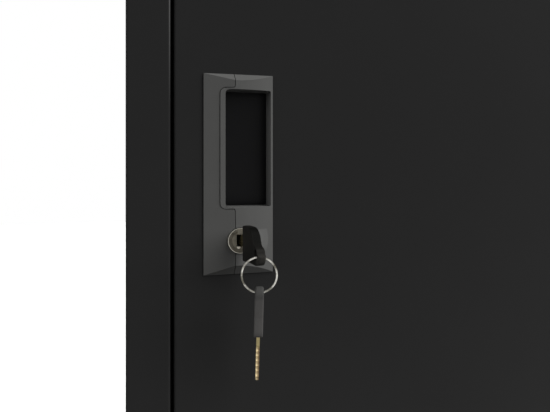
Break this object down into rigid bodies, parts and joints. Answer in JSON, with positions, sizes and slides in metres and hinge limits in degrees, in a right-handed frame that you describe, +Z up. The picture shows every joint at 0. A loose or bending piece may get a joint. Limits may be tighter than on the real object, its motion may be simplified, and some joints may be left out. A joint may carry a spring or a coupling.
{
  "type": "metal locker",
  "caption": "Tall steel clothes locker with an inset vented door, recessed pull, cam lock with keys on a ring, hat shelf and coat rail.",
  "frame": {"origin": "on the floor, under the middle of the outline that includes the keys in front", "axes": "+Z up, the door faces -Y, +X is to the right for someone who faces the door"},
  "size_m": [0.38, 0.4984, 1.8],
  "materials": {
    "black_powder_coat": "fine matt powder coat",
    "grey_pull_plastic": "satin moulding",
    "black_key_plastic": "low sheen",
    "black_fitting_plastic": "low sheen",
    "bumper_rubber": "matt",
    "bright_steel": "bright",
    "zinc_plated_steel": "zinc plated",
    "nickel_plating": "nickel plated",
    "key_brass": "satin"
  },
  "bodies": {
    "cabinet": {"left_side_panel": "black_powder_coat", "right_side_panel": "black_powder_coat", "back_panel": "black_powder_coat", "top_panel": "black_powder_coat", "bottom_panel": "black_powder_coat", "top_rail": "black_powder_coat", "bottom_rail": "black_powder_coat", "hat_shelf": "black_powder_coat", "left_shelf_ledge": "zinc_plated_steel", "right_shelf_ledge": "zinc_plated_steel", "coat_rail": "bright_steel", "left_rail_socket": "black_fitting_plastic", "right_rail_socket": "black_fitting_plastic", "upper_hinge_pin": "bright_steel", "lower_hinge_pin": "bright_steel", "upper_door_bumper": "bumper_rubber", "lower_door_bumper": "bumper_rubber", "front_left_foot": "black_fitting_plastic", "front_right_foot": "black_fitting_plastic", "rear_left_foot": "black_fitting_plastic", "rear_right_foot": "black_fitting_plastic"},
    "door": {"door_panel": "black_powder_coat", "door_stiffener": "black_powder_coat", "upper_hinge_bush": "black_fitting_plastic", "lower_hinge_bush": "black_fitting_plastic", "handle_bezel": "grey_pull_plastic", "handle_pull": "grey_pull_plastic", "recess_back": "black_fitting_plastic", "handle_retainer": "zinc_plated_steel", "upper_pull_screw": "bright_steel", "lower_pull_screw": "bright_steel", "upper_bezel_screw": "bright_steel", "lower_bezel_screw": "bright_steel", "lock_barrel": "nickel_plating", "lock_nut": "zinc_plated_steel"},
    "plug": {"lock_plug": "nickel_plating", "lock_cam": "zinc_plated_steel", "cam_screw": "bright_steel"},
    "key": {"key_bow": "black_key_plastic", "key_blade": "key_brass"},
    "ring": {"key_ring": "bright_steel"},
    "spare_key": {"spare_key_bow": "black_key_plastic", "spare_key_blade": "key_brass"}
  },
  "joints": [
    {"name": "door_swing", "type": "hinge", "parent": "cabinet", "child": "door", "pos_m": [0.1509, -0.19477, 0.92], "axis": [0, 0, 1], "range_deg": [0, 110]},
    {"name": "lock_turn", "type": "hinge", "parent": "door", "child": "plug", "pos_m": [-0.1156, -0.20077, 0.8851], "axis": [0, 1, 0], "range_deg": [0, 90]},
    {"name": "key_pull", "type": "slide", "parent": "plug", "child": "key", "axis": [0, -1, 0], "range_m": [0, 0.02]},
    {"name": "ring_swing", "type": "hinge", "parent": "key", "child": "ring", "pos_m": [-0.11049, -0.23925, 0.87917], "axis": [0.9703, -0.2419, 0], "range_deg": [-60, 10]},
    {"name": "spare_key_swing", "type": "hinge", "parent": "ring", "child": "spare_key", "pos_m": [-0.11049, -0.23925, 0.85737], "axis": [0.9703, -0.2419, 0], "range_deg": [-45, 15]}
  ]
}
